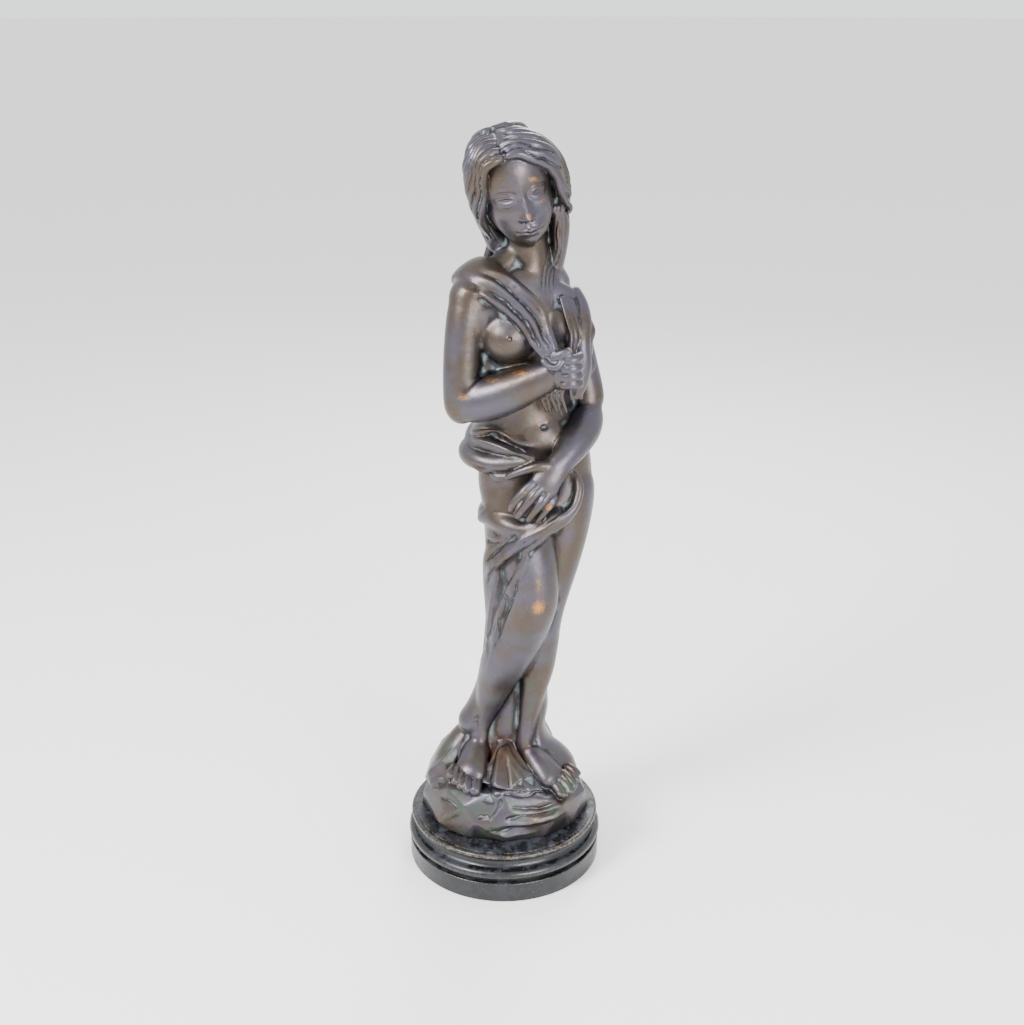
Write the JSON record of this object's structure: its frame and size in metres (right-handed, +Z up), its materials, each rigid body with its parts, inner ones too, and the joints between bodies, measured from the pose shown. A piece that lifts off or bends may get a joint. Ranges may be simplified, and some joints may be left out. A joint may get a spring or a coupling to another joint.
{
  "type": "garden statue",
  "caption": "Draped classical woman standing on a patch of rocky ground, cast in one, on a round turned plinth.",
  "frame": {"origin": "middle of the plinth's underside, which stands on the ground", "axes": "+Z up; -Y towards the side that she faces, where her bare knee and raised hand are; +X to the right of someone who looks at that side"},
  "size_m": [0.2944, 0.2944, 1.0983],
  "materials": {
    "figure": "bronzed patina, satin, rubbed to a warm gold on the high points",
    "plinth": "black satin paint, scuffed on the edges of its mouldings"
  },
  "bodies": {
    "root": {"figure": "figure", "plinth": "plinth"}
  },
  "joints": []
}
